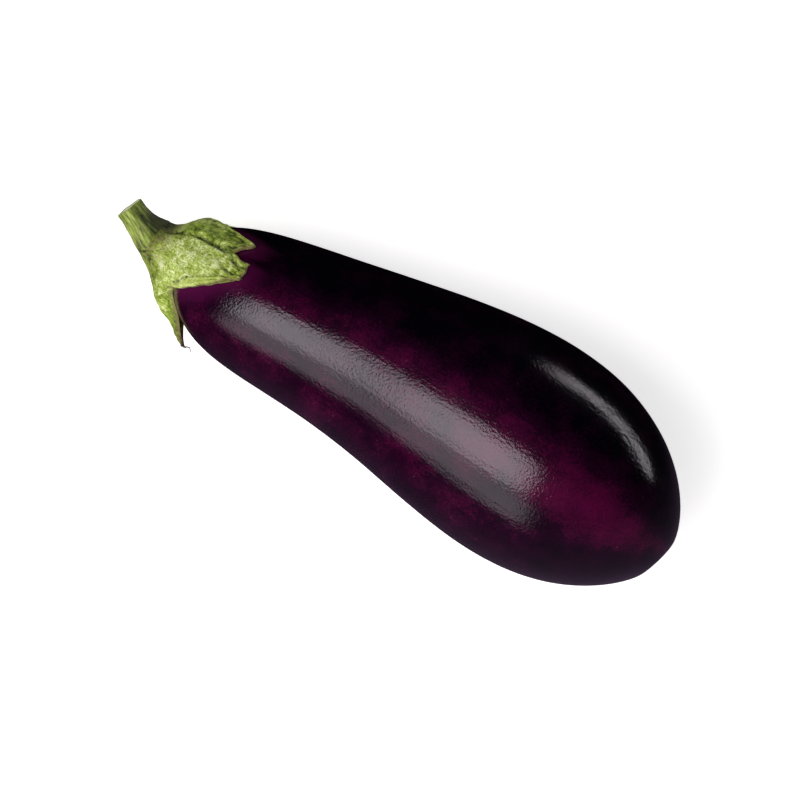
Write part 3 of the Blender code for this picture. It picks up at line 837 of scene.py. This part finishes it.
def stemMaterial():
    # stalk: woody green stem with pale strings between darker furrows, cut with a knife.
    # gives long straight streaks, and a pale moist end with a darker rim
    material, tree, shader = newMaterial("stringy green stalk")
    read = {label: addNode(tree, "Attribute", attribute_name=label).outputs["Fac"]
            for label in ("cut", "radial", "ridge", "height", "paintedShade", "strandY", "strandZ")}
    grown = addNode(tree, "Attribute", attribute_name="grown").outputs["Vector"]
    # strings 0.8 mm wide and 7 mm long, in the stalk's own unrolled coordinates
    unrolled = addNode(tree, "CombineXYZ", {0: read["height"], 1: read["strandY"], 2: read["strandZ"]})
    strung = addNode(tree, "Mapping", {"Vector": unrolled, "Scale": (2.6, 7.5, 7.5)})
    strings = addNode(tree, "TexNoise",
                      {"Vector": strung, "Scale": 1, "Detail": 4, "Roughness": .62})
    grain = addNode(tree, "TexNoise", {"Vector": grown, "Scale": 900, "Detail": 3})
    patches = addNode(tree, "TexNoise", {"Vector": grown, "Scale": 260, "Detail": 4})
    tone = -.875
    # painted shade: the ridge term darkens the furrows between the ridges a little and lightens the ridges
    for pattern, strength in ((strings.outputs["Fac"], 2.3), (read["ridge"], .10),
                              (grain.outputs["Fac"], .45)):
        tone = addNode(tree, "Math", {0: pattern, 1: strength, 2: tone},
                       operation="MULTIPLY_ADD").outputs[0]
    stops = [(.18, stalkLook["dark"]), (.40, stalkLook["mid"]), (.60, stalkLook["light"]),
             (.85, stalkLook["pale"])]
    wall = addNode(tree, "ValToRGB", {"Fac": tone}, stops=stops).outputs[0]
    # brown blotches of 4 mm, most of them at the foot
    blotch = addNode(tree, "MapRange", {0: patches, 1: .52, 2: .7, 3: 0, 4: .4})
    foot = addNode(tree, "MapRange", {0: read["height"], 1: .15, 2: .7, 3: 1.6, 4: .3})
    blotch = addNode(tree, "Math", {0: blotch, 1: foot}, operation="MULTIPLY")
    wall = addNode(tree, "Mix", {0: blotch, 6: wall, 7: stalkLook["brown"]}, data_type="RGBA").outputs[2]
    # painted shade at the foot, on the side turned away from the lamps
    shadeShare = addNode(tree, "Math", {0: read["paintedShade"], 1: .9}, operation="MULTIPLY")
    wall = addNode(tree, "Mix", {0: shadeShare, 6: wall, 7: stalkLook["shadeGreen"]},
                   data_type="RGBA").outputs[2]
    stops = [(0, stalkLook["cutPith"]), (.35, stalkLook["cutFace"]), (.8, stalkLook["cutFace"]),
             (1, stalkLook["cutRim"])]
    face = addNode(tree, "ValToRGB", {"Fac": read["radial"]}, stops=stops).outputs[0]
    face = addNode(tree, "Mix", {0: blotch, 6: face, 7: stalkLook["cutRim"]}, data_type="RGBA").outputs[2]
    colour = addNode(tree, "Mix", {0: read["cut"], 6: wall, 7: face}, data_type="RGBA").outputs[2]
    tree.links.new(colour, shader.inputs["Base Color"])
    shader.inputs["Roughness"].default_value = .5
    shader.inputs["IOR"].default_value = 1.42  # green wood
    shader.inputs["Sheen Weight"].default_value = .1
    relief = addNode(tree, "Bump", {"Height": strings, "Strength": .8, "Distance": .0006})
    tree.links.new(relief.outputs[0], shader.inputs["Normal"])
    return material


# dried thread at the tip of the low lobe

threadShape = {
    # steps from the lobe's tip: along the fruit, across it and up
    "path": [(-.0014, -.0003, .0001), (0, 0, 0), (.0008, .0004, 0), (.0015, .0008, .0002),
             (.0023, .0008, .0003), (.0029, .0003, .0002), (.0033, -.0003, 0)],
    "radius": .00034,
    "endRadius": .00016,
    "above": .0005,            # how far its start stands off the lobe's inner face
    "sides": 10,
    "steps": 60,
    "dark": "#1f1a12",
    "light": "#6a6047",
}


def threadMaterial():
    # dried calyx tip: shrivelled leaf tissue with fibres 0.7 mm long, gives a matt dark brown thread
    material, tree, shader = newMaterial("dried brown calyx thread")
    grown = addNode(tree, "Attribute", attribute_name="grown").outputs["Vector"]
    fibres = addNode(tree, "TexNoise", {"Vector": grown, "Scale": 1500, "Detail": 3})
    colour = addNode(tree, "ValToRGB", {"Fac": fibres},
                     stops=[(.35, threadShape["dark"]), (.65, threadShape["light"])]).outputs[0]
    tree.links.new(colour, shader.inputs["Base Color"])
    shader.inputs["Roughness"].default_value = .75
    relief = addNode(tree, "Bump", {"Height": fibres, "Strength": .5, "Distance": .0001})
    tree.links.new(relief.outputs[0], shader.inputs["Normal"])
    return material


def buildThread():
    tipAngle, tipDistance = calyxShape["lobes"][0][:2]
    start = np.array([tipDistance - .0006])
    skin, normal = skinAt(start, np.radians([tipAngle]))
    lift = lobeLift(start, np.zeros(1), 0) + threadShape["above"]
    path = np.array(threadShape["path"]) + skin + normal * lift
    steps, sides = threadShape["steps"], threadShape["sides"]
    spaced = np.linspace(0, len(path) - 1, steps)
    line = np.stack([np.interp(spaced, range(len(path)), path[:, axis]) for axis in range(3)], axis=-1)
    for _ in range(12):
        line[1:-1] = (line[:-2] + 2 * line[1:-1] + line[2:]) / 4
    forward = unit(np.gradient(line, axis=0))
    first = unit(np.cross(forward, np.array([0, 0, 1.])))
    second = np.cross(forward, first)
    radius = np.linspace(threadShape["radius"], threadShape["endRadius"], steps)
    radius = radius * (1 + .2 * softNoise(line, .0008, 95))
    angle = np.linspace(0, 2 * math.pi, sides, endpoint=False)
    ring = first[:, None] * np.cos(angle)[None, :, None] + second[:, None] * np.sin(angle)[None, :, None]
    points = (line[:, None] + ring * radius[:, None, None]).reshape(-1, 3)
    faces = gridFaces(steps, sides, True).tolist()
    faces += [list(range(sides))[::-1], list(range((steps - 1) * sides, steps * sides))]
    return meshPiece("calyx_thread", points, faces, {}, threadMaterial(), None)


# studio: pale floor, soft boxes, and the camera

studioSetup = {
    "floorSize": 3.0,
    "floorCells": 23,
    "floorColour": "#f4f3f1",
    "floorGrain": "#f8f8f7",
    "worldDark": "#060508",
    "worldGlow": "#74627c",
    "glowFrom": (.75, -.50, -.42),
    "worldPale": "#f2f1ef",
    "softBoxes": [
        # name, direction from the fruit, long side, short side, brightness
        ("keyBox", (-.295, -.536, .967), .72, .60, 5.3),
        ("sideBox", (-.18, -.86, .47), .80, .44, 2.0),
        ("rimBox", (.385, .92, .11), .98, .08, 9.0),
    ],
    "boxDistance": 1.0,
    "boxColour": "#faf3fb",
    "fillFrom": (-.35, -.60, .72),
    "floorGlow": .68,
    "fillStrength": 1.1,
    "fillAngle": 100,
}


def buildFloor():
    size = studioSetup["floorSize"]
    rows = studioSetup["floorCells"] + 1
    ticks = np.linspace(-size, size, rows)
    xs, ys = np.meshgrid(ticks, ticks)
    height = cadBox[0].z - .00005  # just under the fruit, so that the two faces don't flicker
    points = np.stack([xs, ys, np.full_like(xs, height)], axis=-1).reshape(-1, 3)
    mesh = bpy.data.meshes.new("studio_floor")
    mesh.from_pydata(points.tolist(), [], gridFaces(rows, rows, False).tolist())
    # acrylic board with a sanded face: gives a matt white without a seam or a reflection
    material, tree, shader = newMaterial("backlit white acrylic board")
    place = addNode(tree, "TexCoord").outputs["Object"]
    tooth = addNode(tree, "TexNoise", {"Vector": place, "Scale": 900, "Detail": 2})
    tint = addNode(tree, "Mix", {0: tooth, 6: studioSetup["floorColour"],
                                 7: studioSetup["floorGrain"]}, data_type="RGBA").outputs[2]
    tree.links.new(tint, shader.inputs["Base Color"])
    shader.inputs["Roughness"].default_value = .9
    shader.inputs["Specular IOR Level"].default_value = .2
    # lit from below, so that the board stays white around the dark fruit
    shader.inputs["Emission Color"].default_value = (1, 1, 1, 1)
    shader.inputs["Emission Strength"].default_value = studioSetup["floorGlow"]
    mesh.materials.append(material)
    floor = bpy.data.objects.new("studio_floor", mesh)
    bpy.context.scene.collection.objects.link(floor)
    # the dark gloss mirrors the studio, not the board it lies on
    floor.visible_glossy = False
    return floor


def buildLights():
    middle = (cadBox[0] + cadBox[1]) / 2
    for name, direction, longSide, shortSide, brightness in studioSetup["softBoxes"]:
        light = bpy.data.lights.new(name, "AREA")
        light.shape = "RECTANGLE"
        light.size = longSide
        light.size_y = shortSide
        light.energy = brightness * math.pi * longSide * shortSide
        light.color = linear(studioSetup["boxColour"])
        box = bpy.data.objects.new(name, light)
        bpy.context.scene.collection.objects.link(box)
        away = Vector(direction).normalized()
        # the long side lies along the fruit
        sideways = (Vector((1, 0, 0)) - away * away.x).normalized()
        turned = Matrix((sideways, away.cross(sideways), away)).transposed()
        box.matrix_world = Matrix.Translation(middle + away * studioSetup["boxDistance"]) @ turned.to_4x4()
        box.visible_camera = False
    # a very wide sun stands in for the light that the room's pale walls give back
    sun = bpy.data.lights.new("skyFill", "SUN")
    sun.energy = studioSetup["fillStrength"]
    sun.angle = math.radians(studioSetup["fillAngle"])
    fill = bpy.data.objects.new("skyFill", sun)
    bpy.context.scene.collection.objects.link(fill)
    fill.visible_glossy = False
    fill.rotation_euler = Vector(studioSetup["fillFrom"]).to_track_quat("Z", "Y").to_euler()
    # the room is white to the eye, but what the gloss mirrors is dark, with a dim glow past the blossom end
    world = bpy.data.worlds.new("studio")
    bpy.context.scene.world = world
    world.use_nodes = True
    tree = world.node_tree
    background = tree.nodes["Background"]
    seen = addNode(tree, "LightPath").outputs["Is Camera Ray"]
    heading = addNode(tree, "TexCoord").outputs["Generated"]
    facing = addNode(tree, "VectorMath", {0: heading, 1: studioSetup["glowFrom"]}, operation="DOT_PRODUCT")
    glow = addNode(tree, "MapRange", {0: facing.outputs["Value"], 1: .25, 2: 1, 3: 0, 4: 1})
    room = addNode(tree, "Mix", {0: glow, 6: studioSetup["worldDark"],
                                 7: studioSetup["worldGlow"]}, data_type="RGBA").outputs[2]
    shade = addNode(tree, "Mix", {0: seen, 6: room, 7: studioSetup["worldPale"]},
                    data_type="RGBA").outputs[2]
    tree.links.new(shade, background.inputs["Color"])


viewSetup = {
    "azimuth": 28.48,
    "elevation": 84.32,
    "roll": 4.84,
    "distance": .8002,
    "lens": 95,
    "aimHeight": .040,
    "moveRight": .00176,
    "moveUp": -.01294,
}


def buildCamera():
    azimuth, elevation, roll = (math.radians(viewSetup[key]) for key in ("azimuth", "elevation", "roll"))
    away = Vector((math.sin(azimuth) * math.cos(elevation), -math.cos(azimuth) * math.cos(elevation),
                   math.sin(elevation)))
    level = Vector((math.cos(azimuth), math.sin(azimuth), 0))
    upright = away.cross(level)
    right = level * math.cos(roll) + upright * math.sin(roll)
    up = upright * math.cos(roll) - level * math.sin(roll)
    spot = Vector((0, 0, viewSetup["aimHeight"])) + away * viewSetup["distance"]
    spot += right * viewSetup["moveRight"] + up * viewSetup["moveUp"]
    lens = bpy.data.cameras.new("studioCamera")
    lens.lens = viewSetup["lens"]
    lens.sensor_width = 36
    camera = bpy.data.objects.new("studioCamera", lens)
    bpy.context.scene.collection.objects.link(camera)
    camera.matrix_world = Matrix.Translation(spot) @ Matrix((right, up, away)).transposed().to_4x4()
    bpy.context.scene.camera = camera
    bpy.context.scene.view_settings.view_transform = "Standard"


buildCamera()
buildFloor()
buildLights()
buildFruit()
buildCalyx()
buildThread()
buildStem()
print("studio set")
